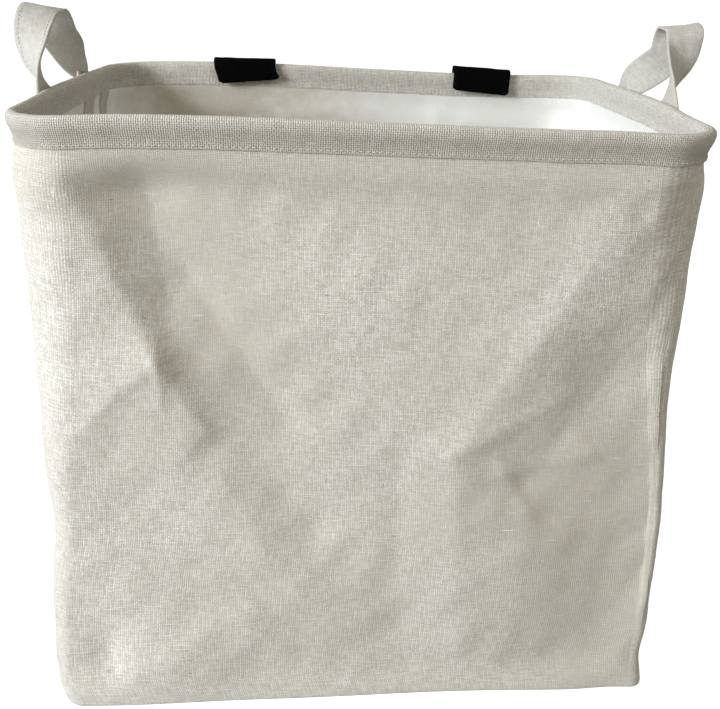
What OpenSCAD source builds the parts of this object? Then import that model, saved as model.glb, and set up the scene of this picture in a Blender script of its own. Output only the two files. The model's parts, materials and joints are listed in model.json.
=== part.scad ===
// Rectangular fabric storage bin with a wire-stiffened rim, two side handles
// and two fold-over hook-and-loop tabs on the back of the rim.
// Units are millimetres. The origin is the centre of the underside of the base,
// +Z is up, the front of the bin faces -Y and the tabs are on the +Y rim.

/* [Bin] */
// Outside width of the rim, left to right
bin_w = 400; // [300:5:520]
// Outside depth of the rim, front to back
bin_d = 300; // [240:5:420]
// Height of the top of the rim above the surface the bin stands on
bin_h = 380; // [220:5:520]
// Outside radius of the rim's corners
corner_r = 40; // [20:1:60]

/* [Fabric] */
// Thickness of the coated wall fabric
wall_t = 1.2; // [0.8:0.1:2]
// Thickness of the fabric of the hem that wraps the wire
hem_t = 1.2; // [0.8:0.1:2]
// Height of the hem
hem_h = 20; // [14:1:40]
// How far the wall reaches up into the hem
wall_tuck = 10; // [4:1:10]
// Thickness of the seam tapes
tape_t = 0.8; // [0.5:0.1:1.2]
// Width of each tape that covers a side seam
side_tape_w = 26; // [12:1:30]
// Places of the two side seam tapes along the left wall, from its middle
side_tape_y = [50, 96]; // [-100:1:100]
// Height of the tape that covers the base seam
base_tape_h = 9; // [5:1:20]
// Width and thickness of the hem's sewing thread
thread_w = 0.9; // [0.4:0.1:1.5]
thread_t = 0.5; // [0.3:0.1:0.8]

/* [Rim wire] */
// Diameter of the steel wire in the hem
wire_d = 3.2; // [2:0.1:5]
// Wall of the crimp sleeve that joins the ends of the wire
ferrule_t = 0.6; // [0.4:0.1:1]
// Length of the crimp sleeve
ferrule_len = 30; // [15:1:50]
// Gap between the ends of the wire, inside the sleeve
wire_gap = 2; // [1:0.5:5]

/* [Base] */
// Thickness of the outer base panel
base_t = 1.2; // [0.8:0.1:2]
// Thickness of the stiffening board
board_t = 2.5; // [1.5:0.5:5]
// Gap between the board and the walls
board_gap = 2; // [1:0.5:6]
// Thickness of the lining over the board
lining_t = 0.8; // [0.5:0.1:1.5]

/* [Handles] */
// Width of the handle strap
strap_w = 25; // [18:1:35]
// Thickness of the doubled strap
strap_t = 2; // [1.5:0.1:4]
// Distance between the middles of a handle's two legs
handle_span = 92; // [70:1:130]
// How far the middle of each handle lies behind the bin's middle
handle_y = 12; // [-30:1:30]
// Height of the middle of the strap above its hinge line
handle_rise = 44; // [35:1:90]
// How far the left handle's grip stands out past its legs
left_out = 12; // [0:1:25]
// How far the right handle's grip stands out past its legs
right_out = 17; // [0:1:25]
// Length of strap over which it turns a quarter turn
twist_len = 30; // [20:1:50]
// Length of strap above the rim that stays flat
flat_len = 8; // [6:1:12]
// Length of the sewn ends of the strap on the outside of the hem
strap_end_h = 17; // [12:1:18]
// Margin of the stitching inside the edges of a sewn end
stitch_margin = 3; // [2:0.5:4]

/* [Tabs] */
// Width of a tab
tab_w = 51; // [30:1:70]
// Thickness of the tab's tape
tab_t = 2; // [1:0.1:2.5]
// Room between the top of the rim and the tape folded over it
tab_lift = 1.5; // [0.3:0.1:4]
// Length that hangs down inside the rim
tab_drop = 20; // [16:1:60]
// Length sewn to the outside of the hem
tab_sewn = 17; // [10:1:18]
// Place of the left tab's middle along the back rim
tab_left_x = -90; // [-130:1:-40]
// Place of the right tab's middle along the back rim
tab_right_x = 110; // [40:1:130]
// Thickness of a hook or loop pad
pad_t = 1; // [0.6:0.1:2]
// Margin of the pads inside the tab's outline
pad_margin = 3; // [2:0.5:8]

/* [Fits] */
// Gap between pieces that move against each other
clearance = 0.3; // [0.2:0.05:0.5]
// Gap between a strap's sewn end and the loop above it, which lets the loop fold down
strap_gap = 0.9; // [0.6:0.1:0.9]
// Gap round the crimp sleeve inside the hem
channel_gap = 0.2; // [0.1:0.05:0.5]

/* [Hidden] */
$fn = 64;
linen = [0.80, 0.79, 0.75];
coating = [0.90, 0.91, 0.90];
black_tape = [0.03, 0.03, 0.035];
steel = [0.6, 0.6, 0.62];
thread_colour = [0.86, 0.85, 0.82];

// Depths below are measured inwards from the outer face of the rim.
channel_w = wire_d + 2 * ferrule_t + 2 * channel_gap;
hem_thick = 2 * hem_t + channel_w;
wire_depth = hem_thick / 2;
wire_z = bin_h - hem_t - channel_gap - ferrule_t - wire_d / 2;
wall_depth = hem_t + clearance;
wall_inner = wall_depth + wall_t;
wall_top = bin_h - hem_h + wall_tuck;
board_z = base_t;
lining_z = board_z + board_t;
tape_z = lining_z + lining_t;
hinge_z = bin_h + clearance + strap_t / 2;
tab_hinge_z = bin_h + tab_lift + tab_t / 2;
tab_hinge_y = bin_d / 2 + tab_t / 2;
hook_depth = hem_thick + pad_t + clearance;
flap_depth = hook_depth + pad_t;
thread_z = bin_h - hem_h + 1;

// Rounded rectangle of the rim's outline, set in by a depth.
module plan(depth) {
  w = bin_w - 2 * depth;
  d = bin_d - 2 * depth;
  r = corner_r - depth;
  square([w - 2 * r, d], center = true);
  square([w, d - 2 * r], center = true);
  for (sx = [-1, 1], sy = [-1, 1]) {
    translate([sx * (w / 2 - r), sy * (d / 2 - r)]) circle(r);
  }
}

// Carries a profile all the way round the rim's outline. The profile's x is
// measured outwards from the centres of the corner arcs, and its y is height.
module around_rim() {
  run_x = bin_w - 2 * corner_r;
  run_y = bin_d - 2 * corner_r;
  corners = [[1, 1], [-1, 1], [-1, -1], [1, -1]];
  for (i = [0:3]) {
    translate([corners[i][0] * run_x / 2, corners[i][1] * run_y / 2, 0])
      rotate([0, 0, 90 * i]) rotate_extrude(angle = 90) children();
  }
  for (a = [0, 180]) {
    rotate([0, 0, a]) translate([run_x / 2, run_y / 2, 0])
      rotate([90, 0, 0]) linear_extrude(run_y) children();
    rotate([0, 0, a + 90]) translate([run_y / 2, run_x / 2, 0])
      rotate([90, 0, 0]) linear_extrude(run_x) children();
  }
}

// Upright band of a profile, from one depth to another and one height to another.
module band(depth_out, depth_in, z0, z1) {
  translate([corner_r - depth_in, z0]) square([depth_in - depth_out, z1 - z0]);
}

// ---- base ----

module base_panel() {
  color(linen) linear_extrude(base_t) plan(wall_inner);
}

module base_board() {
  color([0.72, 0.66, 0.55]) translate([0, 0, board_z])
    linear_extrude(board_t) plan(wall_inner + board_gap);
}

module base_lining() {
  color(coating) translate([0, 0, lining_z])
    linear_extrude(lining_t) plan(wall_inner);
}

module base_seam_tape() {
  color(linen) around_rim() band(wall_inner, wall_inner + tape_t, tape_z, tape_z + base_tape_h);
}

// ---- wall ----

module wall_panel() {
  color(linen) around_rim() band(wall_depth, wall_inner, 0, wall_top);
}

// Tape down the inside of the left wall, over one line of side seam.
module side_tape(place_y) {
  z0 = tape_z + base_tape_h;
  color(linen)
    translate([-bin_w / 2 + wall_inner, place_y - side_tape_w / 2, z0])
      cube([tape_t, side_tape_w, wall_top - z0]);
}

module side_seam_tape_front() {
  side_tape(side_tape_y[0]);
}

module side_seam_tape_rear() {
  side_tape(side_tape_y[1]);
}

// ---- rim ----

module rim_wire() {
  color(steel) difference() {
    around_rim() translate([corner_r - wire_depth, wire_z]) circle(d = wire_d);
    translate([0, bin_d / 2 - wire_depth, wire_z])
      cube([wire_gap, 2 * wire_d, 2 * wire_d], center = true);
  }
}

module wire_ferrule() {
  color(steel) translate([0, bin_d / 2 - wire_depth, wire_z]) rotate([0, 90, 0])
    difference() {
      cylinder(h = ferrule_len, d = wire_d + 2 * ferrule_t, center = true);
      cylinder(h = ferrule_len + 1, d = wire_d, center = true);
    }
}

// Cross-section of the hem: fabric turned over the wire, round on top.
module hem_profile() {
  outer = hem_thick / 2;
  inner = channel_w / 2;
  translate([corner_r - outer, 0]) difference() {
    union() {
      translate([0, bin_h - outer]) circle(outer);
      translate([-outer, bin_h - hem_h]) square([hem_thick, hem_h - outer]);
    }
    translate([0, bin_h - outer]) circle(inner);
    translate([-inner, bin_h - hem_h - 1]) square([channel_w, hem_h + 1 - outer]);
  }
}

module rim_hem() {
  color(linen) around_rim() hem_profile();
}

// One line of stitching outside the hem and one inside it.
module hem_thread() {
  color(thread_colour) around_rim() {
    band(-thread_t, 0, thread_z, thread_z + thread_w);
    band(hem_thick, hem_thick + thread_t, thread_z, thread_z + thread_w);
  }
}

// ---- handles ----
// The strap's middle line is half an ellipse that stands over the rim. The strap
// leaves the rim flat along the wall, and turns so that its width points outwards.

RINGS = 40;
function smooth(t) = let (u = min(1, max(0, t))) u * u * (3 - 2 * u);
function unit(v) = v / norm(v);
function arc_from_rim(a) = min(a, 180 - a) * PI / 180 * (handle_span / 4 + handle_rise / 2);
function turned(a) = smooth((arc_from_rim(a) - flat_len) / twist_len);
function strap_point(a, out) = [
  out * turned(a),
  -handle_span / 2 * cos(a),
  handle_rise * sin(a)
];
function strap_tangent(a, out) =
  unit(strap_point(min(a + 1, 180), out) - strap_point(max(a - 1, 0), out));
function arch_normal(a) = unit([0, -cos(a) / handle_span * 2, sin(a) / handle_rise]);
function strap_across(a, out) =
  let (flat = [1, 0, 0] * (1 - turned(a)) + arch_normal(a) * turned(a))
  unit(cross(strap_tangent(a, out), flat));
function strap_ring(a, out) =
  let (
    p = strap_point(a, out),
    w = strap_across(a, out) * strap_w / 2,
    n = unit(cross(strap_across(a, out), strap_tangent(a, out))) * strap_t / 2
  )
  [p - w - n, p + w - n, p + w + n, p - w + n];

module strap_loop(out) {
  rings = [for (i = [0:RINGS]) strap_ring(180 * i / RINGS, out)];
  points = [for (r = rings, p = r) p];
  lower = [for (i = [0:RINGS - 1], k = [0:3])
    [4 * i + k, 4 * i + (k + 1) % 4, 4 * i + 4 + (k + 1) % 4]];
  upper = [for (i = [0:RINGS - 1], k = [0:3])
    [4 * i + k, 4 * i + 4 + (k + 1) % 4, 4 * i + 4 + k]];
  first = [[3, 2, 1, 0]];
  last = [[for (k = [0:3]) 4 * RINGS + k]];
  polyhedron(points, concat(lower, upper, first, last), convexity = 6);
  for (s = [-1, 1]) {
    translate([0, s * handle_span / 2, 0]) rotate([90, 0, 0])
      cylinder(h = strap_w, d = strap_t, center = true);
  }
}

// Puts a right-hand handle piece at its place, or its mirror image on the left.
module at_handle(side, out) {
  color(linen) mirror([side < 0 ? 1 : 0, 0, 0])
    translate([bin_w / 2 + strap_t / 2, handle_y, hinge_z]) strap_loop(out);
}

// The two sewn ends of a strap, flat on the outside of the hem.
module strap_ends(side) {
  low = bin_h - strap_end_h;
  high = hinge_z - strap_t / 2 - strap_gap;
  color(linen) for (s = [-1, 1]) {
    translate([side * (bin_w + strap_t) / 2, handle_y + s * handle_span / 2, (low + high) / 2])
      cube([strap_t, strap_w, high - low], center = true);
  }
}

// The frame of stitching that holds each sewn end.
module stitch_frame(side) {
  high = strap_end_h - 2 * stitch_margin;
  wide = strap_w - 2 * stitch_margin;
  face = bin_w / 2 + strap_t;
  color(thread_colour) for (s = [-1, 1]) {
    translate([side * (face + thread_t / 2), handle_y + s * handle_span / 2, bin_h - strap_end_h / 2])
      difference() {
        cube([thread_t, wide, high], center = true);
        cube([2 * thread_t, wide - 2 * thread_w, high - 2 * thread_w], center = true);
      }
  }
}

module handle_left_loop() {
  at_handle(-1, left_out);
}

module handle_right_loop() {
  at_handle(1, right_out);
}

module handle_left_ends() {
  strap_ends(-1);
}

module handle_right_ends() {
  strap_ends(1);
}

module handle_left_stitching() {
  stitch_frame(-1);
}

module handle_right_stitching() {
  stitch_frame(1);
}

// ---- tabs ----

// Carries a profile in Y and Z across the width of a tab.
module across_tab(place_x, wide) {
  translate([place_x, 0, 0]) rotate([90, 0, 90])
    linear_extrude(wide, center = true) children();
}

// The end of the tape that is sewn to the outside of the hem.
module tab_sewn_end(place_x) {
  top = tab_hinge_z - tab_t / 2 - clearance;
  low = bin_h - tab_sewn;
  color(black_tape) across_tab(place_x, tab_w)
    translate([bin_d / 2, low]) square([tab_t, top - low]);
}

// The tape over the top of the rim, and the part that hangs inside it.
module tab_flap(place_x) {
  turn = bin_d / 2 - flap_depth;
  low = bin_h - tab_drop;
  color(black_tape) across_tab(place_x, tab_w) {
    translate([tab_hinge_y, tab_hinge_z]) circle(tab_t / 2);
    translate([turn, tab_hinge_z - tab_t / 2]) square([tab_hinge_y - turn, tab_t]);
    translate([turn - tab_t, low]) square([tab_t, tab_hinge_z - tab_t / 2 - low]);
    intersection() {
      translate([turn, tab_hinge_z - tab_t / 2]) circle(tab_t);
      translate([turn - tab_t, tab_hinge_z - tab_t / 2]) square(tab_t);
    }
  }
}

// A pad of hook or loop, from one depth inwards.
module tab_pad(place_x, depth, colour) {
  low = bin_h - min(tab_drop, hem_h) + pad_margin;
  high = bin_h - hem_thick / 2;
  color(colour) across_tab(place_x, tab_w - 2 * pad_margin)
    translate([bin_d / 2 - depth - pad_t, low]) square([pad_t, high - low]);
}

module tab_left_sewn_end() {
  tab_sewn_end(tab_left_x);
}

module tab_left_flap() {
  tab_flap(tab_left_x);
}

module tab_left_hook_pad() {
  tab_pad(tab_left_x, hook_depth, [0.05, 0.05, 0.055]);
}

module tab_left_loop_pad() {
  tab_pad(tab_left_x, hem_thick, [0.07, 0.07, 0.075]);
}

module tab_right_sewn_end() {
  tab_sewn_end(tab_right_x);
}

module tab_right_flap() {
  tab_flap(tab_right_x);
}

module tab_right_hook_pad() {
  tab_pad(tab_right_x, hook_depth, [0.05, 0.05, 0.055]);
}

module tab_right_loop_pad() {
  tab_pad(tab_right_x, hem_thick, [0.07, 0.07, 0.075]);
}

base_panel();
base_board();
base_lining();
base_seam_tape();
wall_panel();
side_seam_tape_front();
side_seam_tape_rear();
rim_wire();
wire_ferrule();
rim_hem();
hem_thread();
handle_left_loop();
handle_left_ends();
handle_left_stitching();
handle_right_loop();
handle_right_ends();
handle_right_stitching();
tab_left_sewn_end();
tab_left_flap();
tab_left_hook_pad();
tab_left_loop_pad();
tab_right_sewn_end();
tab_right_flap();
tab_right_hook_pad();
tab_right_loop_pad();
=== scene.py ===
import json
import math
import bpy
import numpy as np
from mathutils import Matrix, Vector


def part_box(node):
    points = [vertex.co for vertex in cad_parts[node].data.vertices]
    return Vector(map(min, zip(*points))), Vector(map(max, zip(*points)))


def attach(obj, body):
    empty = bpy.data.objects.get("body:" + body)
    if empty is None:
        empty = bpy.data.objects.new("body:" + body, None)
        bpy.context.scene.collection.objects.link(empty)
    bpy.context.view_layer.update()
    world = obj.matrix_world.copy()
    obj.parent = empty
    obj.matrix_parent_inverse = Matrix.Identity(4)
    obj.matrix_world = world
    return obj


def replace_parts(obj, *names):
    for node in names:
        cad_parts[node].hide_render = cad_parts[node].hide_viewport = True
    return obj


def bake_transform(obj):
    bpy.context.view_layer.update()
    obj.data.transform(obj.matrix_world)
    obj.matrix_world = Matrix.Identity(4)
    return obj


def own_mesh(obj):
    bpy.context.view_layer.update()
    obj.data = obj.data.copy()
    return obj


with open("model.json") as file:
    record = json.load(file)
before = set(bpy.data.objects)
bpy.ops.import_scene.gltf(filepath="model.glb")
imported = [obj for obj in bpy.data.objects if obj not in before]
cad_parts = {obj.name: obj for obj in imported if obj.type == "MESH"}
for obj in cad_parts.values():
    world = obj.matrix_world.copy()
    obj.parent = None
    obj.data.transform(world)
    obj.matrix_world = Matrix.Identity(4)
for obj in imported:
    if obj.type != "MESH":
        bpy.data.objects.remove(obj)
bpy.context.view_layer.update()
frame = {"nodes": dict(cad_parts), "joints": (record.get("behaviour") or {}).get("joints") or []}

MM = 0.001


def box_of(node):
    """A CAD node's box as two arrays, its lowest and its highest corner."""
    return tuple(np.array(corner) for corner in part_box(node))


# --- Sizes taken from the frame -------------------------------------------------------------
hem_low, hem_high = box_of("rim_hem")
wall_high = box_of("wall_panel")[1]
wire_low, wire_high = box_of("rim_wire")
board_low, board_high = box_of("base_board")
lining_low, lining_high = box_of("base_lining")
base_tape_low, base_tape_high = box_of("base_seam_tape")

RIM_W = hem_high[0]
RIM_D = hem_high[1]
RIM_TOP = hem_high[2]
HEM_FOOT = hem_low[2]
WALL_W = wall_high[0]
WALL_D = wall_high[1]
WALL_TOP = wall_high[2]
WALL_T = 1.2 * MM
RIM_CORNERS = np.array([40, 40, 42, 40]) * MM  # front-left, front-right, rear-right, rear-left
BASE_CORNERS = np.array([15, 11, 14, 14]) * MM
CORNER_RISE = (0.9, 2.2, 0.8, 0.8)  # how late each corner opens out, as a power of the height's share


# --- Small helpers for shapes ---------------------------------------------------------------
def ease(x, low=0.0, high=1.0):
    """0 below low, 1 above high, and 3t^2 - 2t^3 between them."""
    t = np.clip((np.asarray(x, float) - low) / (high - low), 0, 1)
    return t * t * (3 - 2 * t)


def bell(x, middle, spread):
    """exp(-((x - middle) / spread)^2)."""
    return np.exp(-(((x - middle) / spread) ** 2))


def unit(v):
    """Each vector in the last axis divided by its length."""
    return v / np.maximum(np.linalg.norm(v, axis=-1, keepdims=True), 1e-12)


def slide(pair, t):
    """From a pair's first number at t = 0 to its second at t = 1."""
    return pair[0] + (pair[1] - pair[0]) * t


def quarter(x, radius):
    """How far a quarter circle lies in from its flank at x: r - sqrt(r^2 - (r - x)^2), and 0 beyond r."""
    return radius - np.sqrt(np.maximum(radius**2 - (radius - np.minimum(x, radius)) ** 2, 0))


def ripple(a, b, seed, size, terms=7):
    """A smooth random field: the mean of cosines of random direction and phase, whose waves are near size long."""
    rng = np.random.default_rng(seed)
    turn = rng.uniform(0, 2 * math.pi, terms)
    wave = 2 * math.pi / (size * rng.uniform(0.6, 1.6, terms))
    phase = rng.uniform(0, 2 * math.pi, terms)
    total = np.zeros(np.broadcast(a, b).shape)
    for angle, k, p in zip(turn, wave, phase):
        total = total + np.cos(k * (a * math.cos(angle) + b * math.sin(angle)) + p)
    return total / math.sqrt(terms)


def make(name, points, faces, uv=None, materials=(), body=None):
    """One mesh object from an array of points and a list of faces, with a UV map in metres of cloth."""
    mesh = bpy.data.meshes.new(name)
    mesh.from_pydata(points.reshape(-1, 3).tolist(), [], faces)
    if uv is not None:
        layer = mesh.uv_layers.new(name="Cloth")
        layer.data.foreach_set("uv", np.asarray(uv, np.float32).ravel())
    mesh.shade_smooth()
    for material in materials:
        mesh.materials.append(material)
    mesh.update()
    piece = bpy.data.objects.new(name, mesh)
    bpy.context.scene.collection.objects.link(piece)
    if body:
        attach(piece, body)
    return piece


def grid(points, u, v, ring=False, loop=False, caps=False, flip=False):
    """Faces and UVs of a rows x columns grid. ring joins the last column to the first, loop the last row to
    the first; caps closes the first and last row with one face each. u and v hold one more column (row) where
    the grid is joined, so that the pattern runs through."""
    rows, cols = points.shape[:2]
    i, j = np.meshgrid(np.arange(rows if loop else rows - 1), np.arange(cols if ring else cols - 1), indexing="ij")
    corner_i = np.stack([i, i, i + 1, i + 1], -1).reshape(-1, 4)
    corner_j = np.stack([j, j + 1, j + 1, j], -1).reshape(-1, 4)
    if flip:
        corner_i = corner_i[:, ::-1]
        corner_j = corner_j[:, ::-1]
    faces = ((corner_i % rows) * cols + corner_j % cols).tolist()
    uv = np.stack([u[corner_i, corner_j], v[corner_i, corner_j]], -1).reshape(-1, 2)
    if caps:
        first = np.arange(cols)
        last = (rows - 1) * cols + np.arange(cols)
        ends = [first[::-1], last] if not flip else [first, last[::-1]]
        for end in ends:
            faces.append(end.tolist())
            uv = np.vstack([uv, np.stack([u.ravel()[end % cols], v.ravel()[end % cols]], -1)])
    return faces, uv


def lengths(points, axis, ring):
    """Running length along one axis of a grid of points, with the step back to the start added for a ring."""
    again = np.take(points, [0] if ring else [], axis=axis)
    step = np.diff(points, axis=axis, append=again)
    run = np.cumsum(np.linalg.norm(step, axis=-1), axis=axis)
    return np.concatenate([np.zeros_like(np.take(run, [0], axis=axis)), run], axis=axis)


def closed(columns):
    """A grid with its first column again after its last."""
    return np.concatenate([columns, columns[:, :1]], 1)


# --- The bin's outline ----------------------------------------------------------------------
# A place round the bin is a number from 0 to 8: left side, front-left corner, front, front-right
# corner, right side, rear-right corner, rear, rear-left corner, counter-clockwise seen from above.
SIDE_ORDER = ((-1, 0), (0, -1), (1, 0), (0, 1))
CORNER_START = (math.pi, 1.5 * math.pi, 0.0, 0.5 * math.pi)


def outline(place, left, right, front, rear, corners):
    """Rounded rectangle: straight sides joined by quarter circles. Each corner's centre lies one radius inside
    both of its sides; a straight side runs evenly from one quarter circle's end to the next one's start.
    Returns x, y and the outward normal."""
    place = np.asarray(place, float) % 8
    part = np.floor(place).astype(int)
    share = place - part
    centre_x = (-left + corners[0], right - corners[1], right - corners[2], -left + corners[3])
    centre_y = (-front + corners[0], -front + corners[1], rear - corners[2], rear - corners[3])
    x = np.zeros(np.broadcast(place, left).shape)
    y, nx, ny = np.zeros_like(x), np.zeros_like(x), np.zeros_like(x)
    for k in range(4):
        before = (k - 1) % 4
        side = part == 2 * k
        flat_x, flat_y = SIDE_ORDER[k]
        from_x, from_y = centre_x[before] + corners[before] * flat_x, centre_y[before] + corners[before] * flat_y
        to_x, to_y = centre_x[k] + corners[k] * flat_x, centre_y[k] + corners[k] * flat_y
        x = np.where(side, from_x + (to_x - from_x) * share, x)
        y = np.where(side, from_y + (to_y - from_y) * share, y)
        nx, ny = np.where(side, flat_x, nx), np.where(side, flat_y, ny)
        arc = part == 2 * k + 1
        angle = CORNER_START[k] + share * math.pi / 2
        x = np.where(arc, centre_x[k] + corners[k] * np.cos(angle), x)
        y = np.where(arc, centre_y[k] + corners[k] * np.sin(angle), y)
        nx, ny = np.where(arc, np.cos(angle), nx), np.where(arc, np.sin(angle), ny)
    return x, y, nx, ny


def places(*counts):
    """Evenly spaced places on each of the eight parts, with that many steps."""
    return np.concatenate([k + np.arange(n) / n for k, n in enumerate(counts)])


def beside(a, h, start, end):
    """Where a point lies by a fold's line: its distance to the right of the line, its share of the way from start
    to end, kept from 0 to 1, and how far it is past either end."""
    (x0, z0), (x1, z1) = start, end
    dx, dz = x1 - x0, z1 - z0
    run = math.hypot(dx, dz)
    along = ((a - x0) * dx + (h - z0) * dz) / run
    across = ((h - z0) * dx - (a - x0) * dz) / run
    return across, np.clip(along / run, 0, 1), np.maximum(np.maximum(-along, along - run), 0)


def crease(a, h, start, end, rise, left, right, soft=2.0, fade=14.0):
    """Height in mm of one fold line. Across it the height is rise * exp(-distance / width), with its own width on
    each side and its crest rounded over soft. rise and widths may be pairs, which run from start to end, and
    past either end the fold dies away over fade. Right is the right-hand side of a fold that runs downwards."""
    across, t, past = beside(a, h, start, end)
    rise, left, right = (slide(np.broadcast_to(pair, 2), t) for pair in (rise, left, right))
    distance = np.sqrt(across**2 + soft**2) - soft
    return rise * np.exp(-distance / np.where(across > 0, right, left)) * np.exp(-((past / fade) ** 2))


def facet(a, h, start, end, slope, width, recover=90.0, soft=3.0, fade=16.0):
    """Height in mm of a flat fold that falls away to the right of a line. It drops by slope times the distance, as
    far as its width, which runs from the first to the second number along the line, and comes back up slowly
    over recover. Its crest is rounded over soft, and it dies away over fade past either end."""
    across, t, past = beside(a, h, start, end)
    wide = slide(width, t)
    into = (across + np.sqrt(across**2 + soft**2)) / 2
    fall = wide - (wide - into + np.sqrt((wide - into) ** 2 + (2 * soft) ** 2)) / 2
    beyond = np.maximum(into - wide, 0)
    return -slope * np.maximum(fall, 0) * np.exp(-beyond / recover) * np.exp(-((past / fade) ** 2))


def dent(a, h, x, z, depth, wide, high):
    """A soft hollow in mm, depth * exp(-(x/wide)^2 - (z/high)^2)."""
    return -depth * np.exp(-(((a - x) / wide) ** 2) - ((h - z) / high) ** 2)


def front_folds(x, z):
    """The front's set of folds, in mm outwards, at x and height z in mm."""
    f = np.zeros(np.broadcast(x, z).shape)
    f += facet(x, z, (-172, 366), (-118, 242), slope=0.37, width=(48, 10), recover=70, soft=5, fade=12)
    f += crease(x, z, (-171, 366), (-119, 243), rise=(2.0, 2.0), left=(40, 30), right=(14, 8), soft=3, fade=14)
    f += crease(x, z, (-119, 247), (-118, 226), rise=2.0, left=8, right=6, soft=1.5)
    f += crease(x, z, (-164, 202), (-134, 233), rise=2.2, left=6, right=10, soft=1.5)
    f += crease(x, z, (-118, 244), (-93, 198), rise=2.6, left=18, right=6, soft=1.5)
    f += dent(x, z, -90, 187, 2.6, 11, 9)
    f += facet(x, z, (-98, 196), (-60, 120), slope=0.16, width=(22, 30), recover=50, soft=5, fade=24)
    f += crease(x, z, (-98, 288), (-48, 206), rise=-4.4, left=24, right=20, soft=3, fade=20)
    f += facet(x, z, (176, 366), (66, 182), slope=0.15, width=(50, 40), recover=46, soft=5, fade=16)
    f += facet(x, z, (110, 236), (96, 16), slope=0.13, width=(60, 60), recover=200, soft=16, fade=30)
    f += crease(x, z, (158, 362), (56, 186), rise=(2.6, 2.6), left=(26, 18), right=(18, 14), soft=3, fade=18)
    f += crease(x, z, (56, 187), (118, 220), rise=2.0, left=12, right=6, soft=1.5)
    f += crease(x, z, (86, 171), (100, 146), rise=1.4, left=6, right=5, soft=1.2)
    f += crease(x, z, (88, 170), (138, 180), rise=1.5, left=7, right=5, soft=1.2)
    f += facet(x, z, (-78, 74), (-160, 14), slope=-0.12, width=(24, 34), recover=40, soft=3, fade=16)
    f += crease(x, z, (-156, 16), (-78, 69), rise=2.6, left=20, right=14, soft=3)
    f += dent(x, z, -161, 36, 3.6, 12, 22)
    f += crease(x, z, (-60, 114), (-36, 96), rise=2.2, left=18, right=22, soft=5)
    f += crease(x, z, (60, 136), (66, 48), rise=2.8, left=20, right=26, soft=4, fade=24)
    f += crease(x, z, (22, 156), (26, 56), rise=-2.4, left=20, right=16, soft=5, fade=24)
    f += facet(x, z, (186, 92), (152, 22), slope=-0.20, width=(12, 26), recover=30, fade=14)
    f += crease(x, z, (158, 24), (194, 8), rise=2.4, left=14, right=16, soft=3)
    f += dent(x, z, 128, 344, 1.8, 16, 7)
    f += dent(x, z, 150, 338, 1.6, 10, 8)
    return f


def plain_folds(a, z, seed, width):
    """Folds in mm for a panel that is width mm wide: from each upper corner a ridge runs down and inwards, and
    two long shallow ones cross the middle. The seed shifts them, so no two panels are alike."""
    rng = np.random.default_rng(seed)
    half = width / 2
    shift = rng.uniform(-12, 12, 8)
    f = crease(a, z, (-half + 28, 364), (-half + 66 + shift[0], 236 + shift[1]), rise=(5.5, 2.5), left=(50, 36),
               right=(30, 16), soft=5, fade=22)
    f += crease(a, z, (half - 28, 364), (half - 74 + shift[2], 214 + shift[3]), rise=(5.0, 2.4), left=(28, 18),
                right=(46, 34), soft=5, fade=22)
    f += crease(a, z, (-half + 30, 18), (-half + 88 + shift[4], 84), rise=2.6, left=18, right=16, soft=3)
    f += crease(a, z, (half - 30, 20), (half - 86 + shift[5], 96), rise=2.6, left=16, right=18, soft=3)
    f += crease(a, z, (-half * 0.3 + shift[6], 230), (half * 0.12, 130), rise=1.8, left=24, right=20, soft=5,
                fade=26)
    f += crease(a, z, (half * 0.34 + shift[7], 160), (half * 0.3, 60), rise=-1.6, left=22, right=22, soft=6,
                fade=26)
    return f


def rear_folds(x, z):
    """Two upright creases below the rear hem, which stand out on the inside."""
    f = crease(x, z, (72, 362), (76, 296), rise=(-2.6, -1.0), left=7, right=12, soft=1.5, fade=20)
    return f + crease(x, z, (163, 356), (158, 290), rise=(-2.4, -1.0), left=12, right=8, soft=2, fade=20)


def rim_lift(x, y):
    """The rim isn't quite level: it rises to the left of the middle and falls to the right, as
    -amount * sin(pi x / half width), by 1.4 mm in front and 2.2 mm behind. The front corners hang low, by 1.5 mm on
    the left and 2.2 mm on the right, over the last third of the front and the front half of each side."""
    amount = MM * (1.8 + 0.4 * np.clip(y / RIM_D, -1, 1))
    share = np.clip(x / RIM_W, -1, 1)
    share = np.where(share > 0, np.abs(share) ** 1.3, share)
    hang = np.where(x > 0, 2.2, 1.5) * MM
    hang = hang * ease(np.abs(x), 0.6 * RIM_W, 0.97 * RIM_W) * ease(-y, -0.03 * RIM_D, 0.54 * RIM_D)
    return -amount * np.sin(np.pi * share) - hang


def draw_in(x, y, share):
    """How far the rim's pull draws each front corner towards the middle: 4 mm on the left and 8.5 mm on the right,
    times share, fading out over the front half of each side and towards the middle of the front."""
    amount = np.where(x > 0, -8.5, 4.0) * MM * share
    return amount * ease(np.abs(x), 0.3 * RIM_W, 0.95 * RIM_W) * ease(-y, 0.2 * RIM_D, 0.86 * RIM_D)


def corner_radii(z):
    """The wall's four corner radii at a height, from the base's to 1.5 mm less than the rim's."""
    up = ease(z, 0.02, WALL_TOP)
    return [base + (top - 1.5 * MM - base) * up**k for base, top, k in zip(BASE_CORNERS, RIM_CORNERS, CORNER_RISE)]


def waist_share(mm):
    """How much of its waist a side has at a height: sin(pi z / 372 mm)^0.8."""
    return np.sin(np.pi * np.clip(mm / 372, 0, 1)) ** 0.8


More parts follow.
